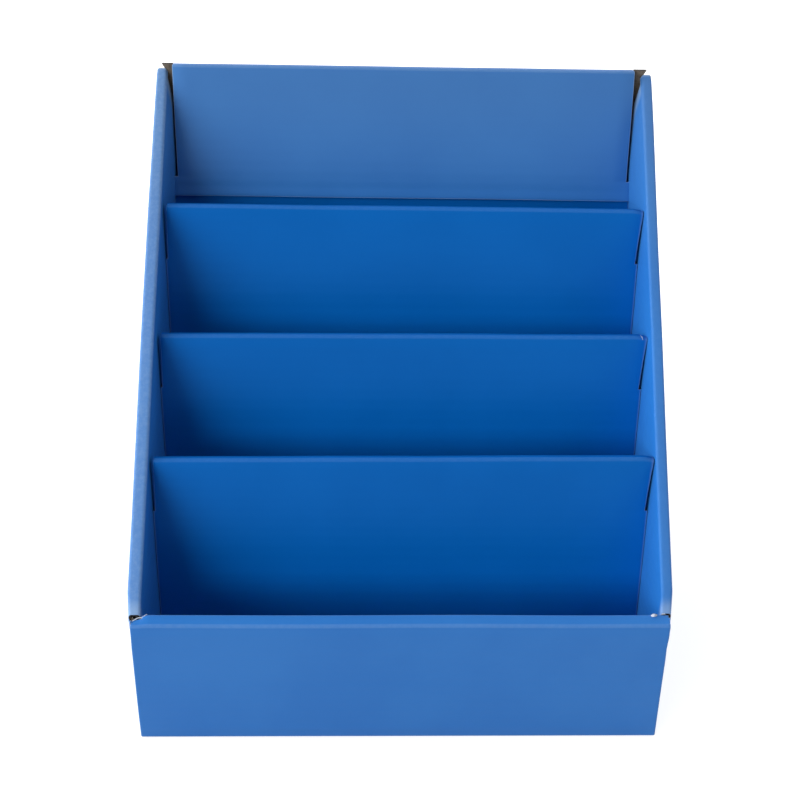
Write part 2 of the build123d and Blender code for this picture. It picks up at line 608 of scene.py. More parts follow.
def tray_path():
    """Middle line of the tray's strip, from the foot of the inner front panel."""
    mid = board / 2
    flap_mid = mid / math.cos(math.radians(flap_lean))
    hinge = back_top - mid
    return [
        (lip_depth - mid, ply),
        (lip_depth - mid, front_height - mid),
        (mid, front_height - mid),
        (mid, mid),
        (depth - mid, mid),
        (depth - mid, hinge),
        (flap_face(hinge) + flap_mid, hinge),
        (flap_face(flap_bottom) + flap_mid, flap_bottom),
    ]


def tray_has(span, x, y, z):
    """Whether the tray's strip has board at a place."""
    if span == "inner_front":
        return abs(x) < insert_half
    if span == "to_lip":
        return -insert_half < x < lip_overhang
    if span == "lip":
        return -insert_half < x < lip_overhang or y < lip_notch
    x = abs(x)
    if span == "base":
        return x < half - fold_radius
    if span == "back":
        return x < insert_half or z < side_top
    if span in ("to_crown", "crown", "to_flap"):
        return x < flap_half
    if span == "flap":
        return x < flap_half or (x < insert_half and z < flap_notch)
    return True


def beside_wall(station, span):
    """Whether a station of the base lies where the side walls fold up from it."""
    return span == "base" and within(station.face[0], (wall_base_front, wall_base_back), slack)


def lay_tray_strip(sheet):
    """Front roll, base, back wall and flap. Gives the base's stations for the walls."""
    marks = {
        "lip": [lip_notch, lip_notch - edge_cell],
        "base": [wall_base_front, wall_front, inner_end, wall_base_back],
        "back": [side_top - edge_cell, side_top],
        "flap": [
            flap_notch + edge_cell,
            flap_notch,
            flap_notch - edge_cell,
            flap_bottom + curl_height,
            flap_bottom + edge_cell,
        ],
        "inner_front": [ply + edge_cell],
    }
    stations, spans = bent_strip(tray_path(), tray_flats, -1, {}, marks)
    seam = half - fold_radius
    inner_marks = [flap_half, insert_half - edge_cell, insert_half, lip_overhang]
    columns = even_columns(half, inner_marks + [seam, half - edge_cell])

    def ear_x(x, station, span):
        """The ear's outer edge leans outwards above the side walls."""
        rise = station.face[1] - side_top
        if span in ("back", "to_crown") and rise > 0 and alike(abs(x), insert_half):
            return x + math.copysign(ear_spread * min(1, rise / crown_rise), x)
        return x

    spots = []
    for i, station in enumerate(stations):
        span = spans[min(i, len(spans) - 1)]
        row = []
        for x in columns:
            face_x = back_x = ear_x(x, station, span)
            if alike(abs(x), seam) and beside_wall(station, span):
                back_x = math.copysign(half - board - tight_radius, x)
            row.append(strip_spot(station, x, face_x, back_x))
        spots.append(row)

    def there(i, j):
        x = (columns[j] + columns[j + 1]) / 2
        y, z = between(stations[i].face, stations[i + 1].face, 0.5)
        return tray_has(spans[i], x, y, z)

    sheet.lay(spots, there, PLAIN, FLUTED)

    # The two ears stand straight up where the rest of the wall folds over.
    top = spans.index("to_crown")
    for side in (-1, 1):
        low = []
        high = []
        for x, spot in zip(columns, spots[top]):
            if within(x * side, (flap_half, insert_half), slack):
                tip = x + side * ear_spread if alike(abs(x), insert_half) else x
                flat = (spot.flat[0], spot.flat[1] + back_top - spot.face[2])
                low.append(spot)
                high.append(Spot((tip, depth, back_top), (tip, depth - board, back_top), flat, 0.0))
        sheet.lay([low, high], everywhere, PLAIN, FLUTED)
    return [s for s, span in zip(stations, spans) if beside_wall(s, span)]


def ridge_arc(corner, into, out, radius):
    """A fold along the sloping ridge, seen in an upright plane across it."""
    arc = fold_arc((corner[0], corner[1] / stretch), into, out, radius)
    return [(x, z * stretch) for x, z in arc]


# The rows of a wall, from the base up the outer panel and down the inner one.
panel_top = slope_height(wall_base_back) - fold_radius * stretch
flap_share = (rear_flap_top - fold_radius) / (panel_top - fold_radius)
panel_shares = shares((0, fold_radius), (0, panel_top), [rear_flap_top], panel_cell)
panel_rows = len(panel_shares)
wall_rows = (
    ["fold_base"] * fold_steps
    + ["outer"] * panel_rows
    + ["ridge"] * (2 * fold_steps + 1)
    + ["inner"] * panel_rows
)


def wall_section(y, face):
    """One side of a rolled wall's board at a depth, as width and height, from the base
    up the outer panel, over the ridge and down the inner panel."""
    wide = fold_radius if face else tight_radius
    inset = 0 if face else board
    top = slope_height(max(y, wall_front)) - inset * stretch
    low = fold_arc((half - inset, inset), (1, 0), (0, 1), wide)
    out = ridge_arc((half - inset, top), (0, 1), (-1, 0), wide)
    inner = ridge_arc((inner_half + inset, top), (-1, 0), (0, -1), wide)
    stop = out[0]
    if y < wall_front - slack:
        stop = (half - inset, front_height - ply)
    foot = (inner_half + inset, ply)
    rows = low + [between(low[-1], stop, t) for t in panel_shares]
    rows += out[1:] + inner
    return rows + [between(inner[-1], foot, t) for t in panel_shares]


def wall_blank(section, run):
    """Where a wall's points lie in the flat blank. The inner panel folds over a ridge
    that slants, so it lies turned in the blank."""
    theta = math.atan(slope)
    u, v = half - fold_radius, run
    flat = [(u, v)]
    for (x0, z0), (x1, z1), row in zip(section, section[1:], wall_rows):
        if row in ("fold_base", "outer"):
            u += math.dist((x0, z0), (x1, z1))
        elif row == "ridge":
            step = math.hypot(x1 - x0, (z1 - z0) / stretch)
            u += step * math.cos(theta)
            v -= step * math.sin(theta)
        else:
            u += (z0 - z1) * math.cos(2 * theta)
            v -= (z0 - z1) * math.sin(2 * theta)
        flat.append((u, v))
    return flat


def corner_flap_columns(end, panel):
    """Columns of a corner flap bent in from the front or the back end of a wall."""
    front = end == "front"
    into = (0, -1) if front else (0, 1)
    face_y = ply if front else wall_back
    back_y = face_y + board if front else face_y - board
    face_arc = fold_arc((half, face_y), into, (-1, 0), fold_radius)
    back_arc = fold_arc((half - board, back_y), into, (-1, 0), tight_radius)
    plan = [(f, b, 1.0) for f, b in zip(face_arc[1:], back_arc[1:])]
    parts = math.ceil(corner_flap / cell)
    for k in range(1, parts + 1):
        reach = (corner_flap - fold_radius) * k / parts
        x = face_arc[-1][0] - reach
        plan.append(((x, face_y), (x - board * (1 - k / parts), back_y), 0.0))
    columns = []
    run = 0.0
    last = face_arc[0]
    for k, (face, back, crease) in enumerate(plan):
        run += math.dist(last, face)
        last = face
        lifted = min(1.0, (k + 1) / fold_steps)
        low = ply + ply_gap
        top = front_height - ply
        if not front:
            top = rear_flap_top - rear_flap_drop * max(0.0, half - face[0]) / corner_flap
        column = []
        for i, spot in enumerate(panel):
            share = 0.0
            if i >= fold_steps:
                share = ([0.0] + panel_shares + [1.0] * len(panel))[i - fold_steps]
            share = share if front else min(1.0, share / flap_share)
            z = spot.face[2] + (low + (top - low) * share - spot.face[2]) * lifted
            shift = -run if front else run
            flat = (spot.flat[0], spot.flat[1] + shift)
            column.append(Spot((face[0], face[1], z), (back[0], back[1], z), flat, crease))
        columns.append(column)
    return columns


def lay_wall(sheet, base, side):
    """One rolled side wall with its corner flaps, continued from the base's edge."""
    row_creases = []
    for i in range(len(wall_rows) + 1):
        near = {wall_rows[max(0, i - 1)], wall_rows[min(i, len(wall_rows) - 1)]}
        folded = near <= {"fold_base"} or near <= {"ridge"}
        rubbed = ridge_wear[side] if near <= {"ridge"} else 1.0
        row_creases.append(rubbed if folded and 0 < i < len(wall_rows) else 0.0)

    def column_at(face_y, back_y, run):
        face = wall_section(face_y, True)
        back = wall_section(back_y, False)
        flat = wall_blank(face, run)
        return [
            Spot((f[0], face_y, f[1]), (b[0], back_y, b[1]), uv, crease)
            for f, b, uv, crease in zip(face, back, flat, row_creases)
        ]

    panel = [column_at(s.face[0], s.back[0], s.run) for s in base]
    front = corner_flap_columns("front", panel[0])[::-1]
    rear = corner_flap_columns("rear", panel[-1])
    columns = front + panel + rear

    def there(i, j):
        row = wall_rows[i]
        if j < len(front):
            return row == "outer"
        if j >= len(front) + len(panel) - 1:
            share = ([0.0] + panel_shares)[i - fold_steps] if row == "outer" else 1.0
            return row == "outer" and share < flap_share - slack
        y = (columns[j][0].face[1] + columns[j + 1][0].face[1]) / 2
        if row == "ridge":
            return y > wall_front
        return row != "inner" or wall_front < y < inner_end

    def turned(grid):
        """The grid as rows of spots, on its own side of the tray."""
        return [[mirrored(s, side) for s in row] for row in zip(*grid)]

    sheet.lay(turned(columns), there, FLUTED, PLAIN)

    # Above the rear flap the wall runs straight on to the back.
    flap_row = min(range(panel_rows), key=lambda k: abs(panel_shares[k] - flap_share))
    low = fold_steps + 1 + flap_row
    high = fold_steps + panel_rows + 2 * fold_steps + 1
    end = column_at(wall_back, wall_back, base[-1].run + fold_radius)
    grid = [panel[-1][low : high + 1], end[low : high + 1]]
    sheet.lay(turned(grid), everywhere, FLUTED, PLAIN)


# Stepped insert


def insert_path():
    """Middle line of the insert's strip, from the front of its first floor."""
    lean = math.radians(riser_lean)
    up = (math.sin(lean), math.cos(lean))
    back = (math.cos(lean), -math.sin(lean))
    mid = board / 2
    floors = [board] + [z - pocket_depth - board for _, z in riser_tops]
    path = [(wall_front, floors[0] + mid)]
    flats = ["floor_1"]
    for k, (fy, fz) in enumerate(riser_tops):
        front = (fy + back[0] * mid - up[0] * mid, fz + back[1] * mid - up[1] * mid)
        reach = riser_depth - mid
        rear = (fy + back[0] * reach - up[0] * mid, fz + back[1] * reach - up[1] * mid)
        for point, z in ((front, floors[k] + mid), (rear, floors[k + 1] + mid)):
            foot = (point[0] + (z - point[1]) * math.tan(lean), z)
            path += [foot, point] if point is front else [point, foot]
        flats += ["riser_%d" % (k + 1), "top_%d" % (k + 1), "rear_%d" % (k + 1)]
        flats.append("floor_%d" % (k + 2))
    tilt = math.radians(flap_lean)
    face_run = (ply + mid) / math.cos(tilt)
    foot_z = floors[-1] + mid
    rear_top = side_top - rear_panel_below
    path.append((flap_face(foot_z) + face_run, foot_z))
    path.append((flap_face(rear_top) + face_run, rear_top))
    flats.append("rear_panel")
    return path, flats


def insert_plan(path, flats):
    """Where the insert's strip needs stations, the depths of the legs under its raised
    floors, and its rounder folds."""
    marks = {"rear_panel": [side_top - rear_panel_below - edge_cell]}
    legs = {}
    radii = {}
    for k, (_, top_z) in enumerate(riser_tops, 1):
        notch = top_z - notch_depth
        for title in ("riser_%d" % k, "rear_%d" % k):
            marks[title] = [notch, notch - edge_cell]
        for title in ("top_%d" % k, "rear_%d" % k):
            radii[title] = riser_radius
        floor = "floor_%d" % (k + 1)
        start = flats.index(floor)
        legs[floor] = (path[start][0] + leg_play, path[start + 1][0] - leg_play)
        marks[floor] = list(legs[floor])
    return marks, legs, radii


def notch_share(span, z):
    """How far up a riser's notch a height is, or None outside the notches."""
    number = span[-1]
    if not number.isdigit() or "floor" in span:
        return None
    low = riser_tops[int(number) - 1][1] - notch_depth
    return (z - low) / notch_depth if z > low - slack else None


def lay_legs(sheet, stations):
    """A pair of legs, folded down from the ends of a raised floor at its stations."""
    top = stations[0].face[1]
    face_arc = fold_arc((insert_half, top), (1, 0), (0, -1), fold_radius)
    back_arc = fold_arc((insert_half - board, top - board), (1, 0), (0, -1), tight_radius)
    rows = list(zip(face_arc, back_arc))
    parts = math.ceil((face_arc[-1][1] - board) / cell)
    for k in range(1, parts + 1):
        face = between(face_arc[-1], (insert_half, board), k / parts)
        back = between(back_arc[-1], (insert_half - board, board), k / parts)
        rows.append((face, back))
    grid = []
    run = insert_half - fold_radius
    for k, (face, back) in enumerate(rows):
        run += math.dist(face, rows[k - 1][0]) if k else 0.0
        crease = 1.0 if 0 < k < fold_steps else 0.0
        grid.append(
            [
                Spot((face[0], s.face[0], face[1]), (back[0], s.back[0], back[1]), (run, s.run), crease)
                for s in stations
            ]
        )
    for side in (-1, 1):
        sheet.lay([[mirrored(s, side) for s in row] for row in grid], everywhere, FLUTED, PLAIN)


def lay_insert(sheet):
    """Floors, doubled risers and rear panel, with legs under the raised floors."""
    path, flats = insert_path()
    marks, legs, radii = insert_plan(path, flats)
    stations, spans = bent_strip(path, flats, 1, radii, marks)
    leg_fold = insert_half - fold_radius
    columns = even_columns(insert_half, [slump_start, leg_fold - edge_cell, leg_fold])
    second = (1, len(columns) - 2)

    def column_x(j, station, span):
        """The second column from each edge follows the notches' slanting sides."""
        x = columns[j]
        if span == "rear_panel":
            return x * (1 - rear_panel_taper * fade(station.face[1], (flap_bottom, flap_notch)))
        share = notch_share(span, station.face[1])
        if share is None or j not in second:
            return x
        low, high = riser_gaps[1 if x > 0 else -1]
        gap = low + (high - low) * min(1.0, share)
        return math.copysign(inner_half - gap, x)

    spots = []
    for i, station in enumerate(stations):
        span = spans[min(i, len(spans) - 1)]
        row = []
        for j in range(len(columns)):
            x = back_x = column_x(j, station, span)
            if j in second and span in legs and within(station.face[0], legs[span], slack):
                back_x = math.copysign(insert_half - board - tight_radius, x)
            row.append(strip_spot(station, x, x, back_x))
        spots.append(row)

    def there(i, j):
        if 0 < j < len(columns) - 2:
            return True
        span = spans[i]
        y, z = between(stations[i].face, stations[i + 1].face, 0.5)
        if span in legs and within(y, legs[span]):
            return False
        return notch_share(span, z) is None

    sheet.lay(spots, there, PLAIN, FLUTED)
    for floor, reach in legs.items():
        on_floor = [s for s, span in zip(stations, spans) if span == floor]
        lay_legs(sheet, [s for s in on_floor if within(s.face[0], reach, slack)])


# How the board gives

noise.seed_set(give_seed)


def bowed(x, y, z):
    """How far outwards a point of a side wall lies, by its depth and height."""
    side = 1 if x > 0 else -1
    reach, middle, fall = bows[side]
    rise = clamp(z / slope_height(max(y, wall_front)))
    outer = (min(widest, reach - fall * (y - middle) ** 2) - half) * rise**bow_growth
    share = clamp((abs(x) - inner_half) / spine_width)
    from_top = z - slope_height(y)
    pinch = rear_pinch * fade(y, pinch_y) ** pinch_growth * fade(share, pinch_share)
    pinch *= fade(from_top, pinch_from_top) * fade(z, pinch_z)
    follow = inner_follow[side] * (1 - share) * fade(from_top, follow_from_top)
    return side * (outer * (share + follow) - pinch)


def crushed(x, y, z):
    """How far the lip's ends are pressed down and in, where the corners took knocks."""
    if y > wall_front or z < lip_z[0]:
        return Vector((0, 0, 0))
    high = fade(z, crush_z) * clamp(y / lip_depth)
    left = fade(x, left_knock_x) ** 1.3
    right = fade(x, right_knock_x) ** 2
    size, deep = dents
    dent = noise.noise_vector(Vector((x, y, z)) / size) * deep * max(left, right)
    droop = lip_droop * clamp(1 - y / lip_depth)
    sink = lip_crush * left * (lip_crush_share + high) / (lip_crush_share + 1)
    return Vector((-corner_push * right * high, 0, -(sink + droop) * fade(z, lip_z))) + dent


def slumped(x, y, z):
    """How the risers tip and slump at their right ends, and how the flap's edge curls."""
    move = Vector((0, 0, 0))
    for (top_y, top_z), tip in zip(riser_tops, riser_tips):
        from_top = z - top_z
        if within(y - top_y, riser_near_y) and within(from_top, riser_near_from_top):
            end = fade(x, (slump_start, insert_half))
            move.z += tip * x / half * fade(from_top, tip_from_top)
            move.z -= riser_slump * end * fade(from_top, slump_from_top)
            move.x += riser_reach * end * fade(from_top, (-notch_depth, 0))
    curl_top = flap_bottom + curl_height
    behind_flap = flap_face(z) + board + snug
    if within(z, (flap_bottom - 1, curl_top)) and within(y, (flap_near_y, behind_flap)):
        move.y -= flap_curl * (curl_top - z) / curl_height
    return move


def settle(point):
    """Where a point of the true folded shape lies once the board has given a little."""
    x, y, z = point
    off_centre = x / half
    near_front = fade(y, front_y)
    move = crushed(x, y, z)
    if abs(x) > insert_half + side_play / 2:
        move.x += bowed(x, y, z) * (1 - near_front)
    else:
        move += slumped(x, y, z)
    move.x -= (front_narrowing + front_taper * z / front_height) * off_centre * near_front
    if x < -insert_half and within(y, (wall_front - snug, creep_y[0])):
        move.y -= spine_creep * fade(y, creep_y) * fade(z, creep_z)
    if abs(x) > inner_half - snug and y < wall_back + snug:
        move.z += spine_rise * fade(y, rise_y) * fade(z, rise_z)
    move.z -= top_tilt * off_centre * fade(z, tilt_z)
    move.y += front_turn * off_centre * fade(y, turn_y) - depth / 2
    size, deep = waves
    wave = noise.noise_vector(Vector((x, y, z)) / size) * deep * fade(z, wave_z)
    return Vector((x, y, z)) + move + wave


def fitted(sheet, low, high):
    """A function that settles a point and brings the whole sheet to the given box."""
    spots = [settle(sheet.points[k]) for k in {k for face in sheet.faces for k in face[0]}]
    least = [min(s[k] for s in spots) for k in range(3)]
    most = [max(s[k] for s in spots) for k in range(3)]

    def place(point):
        s = settle(point)
        return [
            low[k] + (s[k] - least[k]) * (high[k] - low[k]) / (most[k] - least[k])
            for k in range(3)
        ]

    return place


# Finishes


def tone(red, green, blue):
    """A colour given as it looks on screen, in the light's own scale."""
    parts = []
    for value in (red, green, blue):
        value /= 255
        parts.append(value / 12.92 if value <= 0.04045 else ((value + 0.055) / 1.055) ** 2.4)
    return (*parts, 1.0)


class Nodes:
    """A node tree under construction."""

    def __init__(self, tree):
        self.tree = tree
        tree.nodes.clear()

    def link(self, source, target):
        self.tree.links.new(source, target)

    def node(self, kind, settings=None, **inputs):
        """A new node's outputs. Its inputs are given as values or as other nodes' outputs,
        by name with _ for a space, or by number after an i. None leaves one as it is."""
        made = self.tree.nodes.new(kind)
        for key, value in (settings or {}).items():
            setattr(made, key, value)
        for key, value in inputs.items():
            number = key[1:]
            socket = made.inputs[int(number) if number.isdigit() else key.replace("_", " ")]
            if isinstance(value, bpy.types.NodeSocket):
                self.link(value, socket)
            elif value is not None:
                socket.default_value = value
        return made.outputs

    def math(self, operation, *values):
        numbered = {"i%d" % k: value for k, value in enumerate(values)}
        return self.node("ShaderNodeMath", {"operation": operation}, **numbered)[0]

    def seen(self):
        """1 as the camera or a reflection sees it, and 0 for the light that it gives."""
        path = self.node("ShaderNodeLightPath")
        return self.math("MAXIMUM", path["Is Camera Ray"], path["Is Glossy Ray"])


class Finish(Nodes):
    """A material under construction. Its place is the point on the object, in metres."""

    def __init__(self, name):
        self.material = bpy.data.materials.new(name)
        self.material.use_nodes = True
        super().__init__(self.material.node_tree)
        self.place = self.node("ShaderNodeTexCoord")["Object"]

    def noise(self, scale, detail=3.0, roughness=0.55):
        texture = self.node(
            "ShaderNodeTexNoise",
            Vector=self.place,
            Scale=scale,
            Detail=detail,
            Roughness=roughness,
        )
        return texture["Fac"]

    def ramp(self, value, low, high):
        """The value's rise from low to high, as a share from 0 to 1."""
        smooth = {"interpolation_type": "SMOOTHSTEP"}
        return self.node("ShaderNodeMapRange", smooth, Value=value, i1=low, i2=high)[0]

    def blend(self, share, first, second):
        return self.node("ShaderNodeMix", {"data_type": "RGBA"}, i0=share, i6=first, i7=second)[2]

    def bump(self, height, distance, below=None):
        return self.node(
            "ShaderNodeBump", Height=height, Distance=distance, Strength=1.0, Normal=below
        )[0]

    def attribute(self, name):
        return self.node("ShaderNodeAttribute", {"attribute_name": name})["Fac"]

    def blank_run(self):
        """The second of the two measures of the flat blank."""
        blank = self.node("ShaderNodeUVMap", {"uv_map": "blank"})[0]
        return self.node("ShaderNodeSeparateXYZ", Vector=blank)[1]

    def fluting_lines(self):
        """Height of the faint ridges that the fluting prints through the liner."""
        turns = self.math("MULTIPLY", self.blank_run(), 2 * math.pi / (flute_pitch * MM))
        return self.math("SINE", turns)

    def made(self, colour, roughness, **inputs):
        """The material, with its shader on top."""
        inputs = dict(inputs, Base_Color=colour, Roughness=roughness)
        shader = self.node("ShaderNodeBsdfPrincipled", **inputs)[0]
        self.node("ShaderNodeOutputMaterial", Surface=shader)
        return self.material


def printed_board(name, ink, pale, gloss, wear, top_sheen):
    """Ink on a smooth liner: faint mottling, fibres, fluting, rubbed folds and edges, and
    a painted sheen towards the top, where the ink turns greyer."""
    finish = Finish(name)
    mottle = finish.ramp(finish.noise(14.0, 4.0, 0.6), 0.35, 0.7)
    colour = finish.blend(mottle, ink, pale)
    high = finish.node("ShaderNodeSeparateXYZ", Vector=finish.place)[2]
    # Painted sheen: towards the top the ink turns greyer and less blue.
    sheen_share = finish.math("MULTIPLY", finish.ramp(high, 0.2, 0.34), top_sheen)
    colour = finish.blend(sheen_share, colour, sheen_grey_ink)
    grain = finish.ramp(finish.noise(420.0, 4.0, 0.65), 0.3, 0.8)
    patches = finish.math("MULTIPLY_ADD", grain, 0.5, 0.75)
    rubbed = finish.math("MULTIPLY", finish.attribute("crease"), patches)
    colour = finish.blend(finish.math("MULTIPLY", rubbed, wear), colour, worn_paper)
    edge = finish.ramp(finish.attribute("cut"), 0.25, 0.9)
    colour = finish.blend(finish.math("MULTIPLY", edge, edge_wear * wear), colour, worn_paper)
    lines = finish.bump(finish.fluting_lines(), 0.00002)
    fibres = finish.bump(finish.noise(1500.0, 3.0, 0.6), 0.00004, lines)
    return finish.made(colour, 0.46, Specular_IOR_Level=gloss, Normal=fibres)


def kraft_board(name, brown, dark):
    """Unprinted liner: brown paper with darker fibres."""
    finish = Finish(name)
    flecks = finish.noise(650.0, 5.0, 0.7)
    colour = finish.blend(finish.ramp(flecks, 0.4, 0.75), brown, dark)
    cloud = finish.math("MULTIPLY", finish.noise(30.0), 0.3)
    colour = finish.blend(cloud, colour, dark)
    lines = finish.bump(finish.fluting_lines(), 0.00006)
    return finish.made(colour, 0.85, Normal=finish.bump(flecks, 0.00008, lines))


def cut_board(name, liner_tone, core_tone, hollow_shade):
    """A cut edge: its two liners, and between them torn bits of paper over painted shade, the dark of
    the flutes' hollows.
    """
    finish = Finish(name)
    share = finish.math("DIVIDE", finish.blank_run(), board * MM)
    off_middle = finish.math("ABSOLUTE", finish.math("SUBTRACT", share, 0.5))
    rough = finish.noise(900.0, 3.0, 0.6)
    in_liner = finish.ramp(off_middle, 0.34, 0.38)
    paper = finish.math("MAXIMUM", in_liner, finish.ramp(rough, 0.45, 0.6))
    colour = finish.blend(finish.ramp(rough, 0.3, 0.7), liner_tone, core_tone)
    # Painted shade where the flutes' hollows lie between the liners.
    colour = finish.blend(paper, hollow_shade, colour)
    return finish.made(colour, 0.9, Normal=finish.bump(paper, 0.0004))


def bare_paper(name, pale, dark):
    """Fibrous paper, as of torn liner and of the fluting."""
    finish = Finish(name)
    fibres = finish.noise(2200.0, 4.0, 0.7)
    colour = finish.blend(finish.ramp(fibres, 0.35, 0.7), pale, dark)
    return finish.made(colour, 0.9, Normal=finish.bump(fibres, 0.0001))


worn_paper = tone(176, 201, 226)
# Greyer ink for the painted sheen towards the top of the print.
sheen_grey_ink = tone(84, 116, 150)
edge_wear = 3.5

# The last number is how strongly the painted sheen greys the print towards the top.
tray_print = printed_board("tray_print", tone(38, 111, 189), tone(43, 116, 193), 0.35, 0.1, 0.35)
# The insert's print: a darker, redless copy of the tray's blue, partly its own print and partly painted
# shade and blue bounce light of the pockets.
insert_print_and_shade = printed_board("insert_print_and_shade", tone(2, 96, 179), tone(4, 99, 183), 0.12, 0.045, 0.0)
kraft = kraft_board("kraft_liner", tone(108, 101, 92), tone(72, 63, 58))
fluted_edge = cut_board("fluted_edge", tone(186, 188, 190), tone(150, 134, 112), tone(44, 38, 34))
# The insert's cut edges, darkened and tinted blue: painted shade of the slits beside the walls.
shaded_insert_edge = cut_board("shaded_insert_edge", tone(56, 72, 100), tone(48, 54, 70), tone(16, 18, 28))
# Plain cut edges in darkened grey tones: painted shade of the dark slots they sit in.
shaded_plain_edge = cut_board("shaded_plain_edge", tone(92, 98, 112), tone(74, 68, 66), tone(30, 27, 26))
torn_paper = bare_paper("torn_paper", tone(206, 211, 220), tone(150, 166, 192))
flute_kraft = bare_paper("flute_kraft", tone(158, 142, 120), tone(112, 98, 82))


# Making it

# Torn liner at both ends of the lip and beside the middle riser: a line along it, the
# way it leans, and its width.
lip_scraps = [
    (
        [
            (-140.6, 7.8, 85.9),
            (-142.0, 7.0, 86.0),
            (-143.3, 6.3, 85.9),
            (-145.2, 5.9, 86.5),
            (-147.0, 5.6, 86.3),
            (-149.0, 4.7, 86.0),
        ],
        (0, -0.5, 1),
        0.6,
    ),
    (
        [(-149.0, 5.3, 86.2), (-149.9, 3.9, 86.0), (-150.2, 2.2, 85.6), (-150.2, 0.6, 84.2)],
        (-1, 0, 0.4),
        0.5,
    ),
    (
        [
            (139.2, 6.2, 86.1),
            (140.0, 5.4, 86.5),
            (141.0, 5.0, 86.9),
            (142.0, 5.4, 86.8),
            (142.8, 6.2, 86.4),
        ],
        (0, -0.9, 1),
        1.5,
    ),
    ([(144.3, 7.3, 86.0), (145.3, 7.2, 86.1), (146.6, 7.4, 86.05)], (0, -0.2, 1), 0.55),
]
riser_scrap = (
    [(139.8, 122.6, 201.3), (140.3, 121.7, 200.9), (140.9, 121.0, 199.4)],
    (-0.6, -0.4, 1),
    0.2,
)

tray_sheet = Sheet()
base_stations = lay_tray_strip(tray_sheet)
for side in (-1, 1):
    lay_wall(tray_sheet, base_stations, side)
for spine, lean, width in lip_scraps:
    tray_sheet.scrap(spine, lean, width)
place = fitted(tray_sheet, [c / MM for c in cad_low], [c / MM for c in cad_high])
tray_finishes = [tray_print, kraft, fluted_edge, shaded_plain_edge, torn_paper]
tray, tray_channels = tray_sheet.make("tray_board", place, tray_finishes)

insert_sheet = Sheet()
lay_insert(insert_sheet)
insert_sheet.scrap(*riser_scrap)
insert_finishes = [insert_print_and_shade, kraft, shaded_insert_edge, shaded_plain_edge, torn_paper]
insert, insert_channels = insert_sheet.make("insert_board", place, insert_finishes)

for piece, node, slot in ((tray, "tray", "tray_board"), (insert, "step_insert", "insert_board")):
    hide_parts(node)
    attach(piece, "root")


# Fluting, laid in the channels of the cut edges


def flute_tree(paper):
    """Node tree that lays a wave of paper along each line, from liner to liner."""
    group = bpy.data.node_groups.new("flute_wave", "GeometryNodeTree")
    sockets = group.interface
    sockets.new_socket("Lines", in_out="INPUT", socket_type="NodeSocketGeometry")
    for title in ("Pitch", "Step", "Depth", "Paper", "Weld"):
        sockets.new_socket(title, in_out="INPUT", socket_type="NodeSocketFloat")
    sockets.new_socket("Flutes", in_out="OUTPUT", socket_type="NodeSocketGeometry")
    tree = Nodes(group)

    def carried(title):
        """The vector that each point of the lines carries under this name."""
        kind = "GeometryNodeInputNamedAttribute"
        return tree.node(kind, {"data_type": "FLOAT_VECTOR"}, Name=title)[0]

    def vectors(operation, **inputs):
        return tree.node("ShaderNodeVectorMath", {"operation": operation}, **inputs)[0]

    def pulled(mode, **inputs):
        return tree.node("GeometryNodeExtrudeMesh", {"mode": mode}, **inputs)[0]

    given = tree.node("NodeGroupInput")
    line = tree.node("GeometryNodeMeshToCurve", Mesh=given["Lines"])[0]
    by_length = {"mode": "LENGTH"}
    line = tree.node("GeometryNodeResampleCurve", by_length, Curve=line, Length=given["Step"])[0]
    run = tree.node("GeometryNodeSplineParameter")["Length"]
    turns = tree.math("DIVIDE", run, given["Pitch"])
    wave = tree.math("SINE", tree.math("MULTIPLY", turns, 2 * math.pi))
    aside = vectors("SCALE", i0=carried("across"), Scale=wave)
    line = tree.node("GeometryNodeSetPosition", Geometry=line, Offset=aside)[0]
    line = tree.node("GeometryNodeCurveToMesh", Curve=line)[0]
    sheet = pulled("EDGES", Mesh=line, Offset=carried("inward"), Offset_Scale=given["Depth"])
    level = vectors("NORMALIZE", i0=carried("across"))
    over = pulled("FACES", Mesh=sheet, Offset=level, Offset_Scale=given["Paper"], Individual=False)
    under = tree.node("GeometryNodeFlipFaces", Mesh=sheet)[0]
    both = tree.node("GeometryNodeJoinGeometry", Geometry=over)[0]
    tree.link(under, both.node.inputs[0])
    closed = tree.node("GeometryNodeMergeByDistance", Geometry=both, Distance=given["Weld"])[0]
    real = tree.node("GeometryNodeRealizeInstances", Geometry=closed)[0]
    dressed = tree.node("GeometryNodeSetMaterial", Geometry=real, Material=paper)[0]
    tree.node("NodeGroupOutput", Flutes=dressed)
    return group


